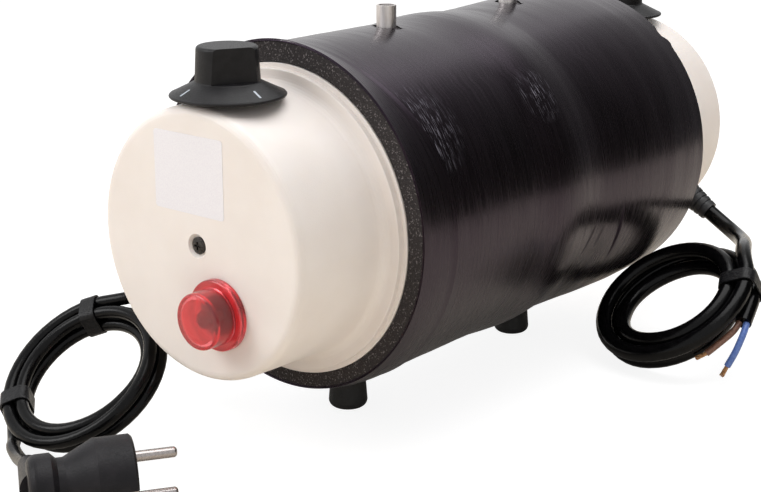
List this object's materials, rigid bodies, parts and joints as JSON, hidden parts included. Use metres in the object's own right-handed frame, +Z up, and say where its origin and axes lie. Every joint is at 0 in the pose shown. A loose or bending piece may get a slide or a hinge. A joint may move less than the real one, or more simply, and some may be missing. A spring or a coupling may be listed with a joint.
{
  "type": "caravan water heater",
  "caption": "Small electric storage water heater lying on rubber feet, with a foam sleeve, moulded end caps, turning knobs, pipe stubs and coiled leads.",
  "frame": {"origin": "on the floor, under the middle of the heater without its cords", "axes": "+Z up, tank axis along Y, front cap with the lamp towards -Y"},
  "size_m": [0.2633, 0.4786, 0.2035],
  "materials": {
    "stainless": "satin",
    "pipe_metal": "satin",
    "foam": "open-cell foam with pale specks",
    "film": "semi-gloss film",
    "cap_plastic": "fine satin moulding",
    "brass": "turned",
    "dark_screw": "blackened",
    "red_lens": "clear red moulding",
    "holder_plastic": "moulded",
    "bulb_glass": "clear",
    "zinc": "yellow zinc plating",
    "copper": "bare",
    "rubber": "moulded",
    "dark_plastic": "moulded",
    "cord_sheath": "smooth cord sheath",
    "tie_plastic": "flat strip",
    "plug_plastic": "moulded",
    "plated_metal": "nickel plating",
    "blue_core": "smooth sheath",
    "brown_core": "smooth sheath",
    "knob_plastic": "moulded"
  },
  "bodies": {
    "heater": {"inner_tank": "stainless", "cold_inlet_pipe": "pipe_metal", "hot_outlet_pipe": "pipe_metal", "insulation_foam": "foam", "insulation_skin": "film", "front_edge_tape": "film", "front_cap": "cap_plastic", "rear_cap": "cap_plastic", "cap_pillars": "brass", "cap_screws": "dark_screw", "lamp_lens": "red_lens", "lamp_holder": "holder_plastic", "lamp_bulb": "bulb_glass", "lamp_nut": "holder_plastic", "front_thermostat": "holder_plastic", "rear_thermostat": "holder_plastic", "thermostat_nuts": "zinc", "sensor_pockets": "stainless", "sensor_bulbs": "copper", "capillaries": "copper", "mains_element": "stainless", "low_voltage_element": "stainless", "element_bushes": "brass", "element_gaskets": "rubber", "element_nuts": "brass", "overheat_cutouts": "dark_plastic", "front_terminal_block": "holder_plastic", "rear_terminal_block": "holder_plastic", "front_gland": "dark_plastic", "rear_gland": "dark_plastic", "gland_nuts": "dark_plastic", "foot_studs": "zinc", "foot_nuts": "zinc", "front_foot": "rubber", "rear_foot": "rubber", "mains_lead": "cord_sheath", "mains_coil": "cord_sheath", "mains_tail": "cord_sheath", "mains_ties": "tie_plastic", "plug_body": "plug_plastic", "plug_pins": "plated_metal", "plug_earth_clips": "plated_metal", "low_voltage_lead": "cord_sheath", "low_voltage_coil": "cord_sheath", "low_voltage_tie": "tie_plastic", "blue_core": "blue_core", "brown_core": "brown_core", "copper_ends": "copper"},
    "front_dial": {"front_shaft": "zinc", "front_knob": "knob_plastic"},
    "rear_dial": {"rear_shaft": "zinc", "rear_knob": "knob_plastic"}
  },
  "joints": [
    {"name": "front_dial_turn", "type": "hinge", "parent": "heater", "child": "front_dial", "pos_m": [0, -0.16125, 0.175], "axis": [0, 0, -1], "range_deg": [0, 270]},
    {"name": "rear_dial_turn", "type": "hinge", "parent": "heater", "child": "rear_dial", "pos_m": [0, 0.17175, 0.175], "axis": [0, 0, -1], "range_deg": [0, 270]}
  ]
}
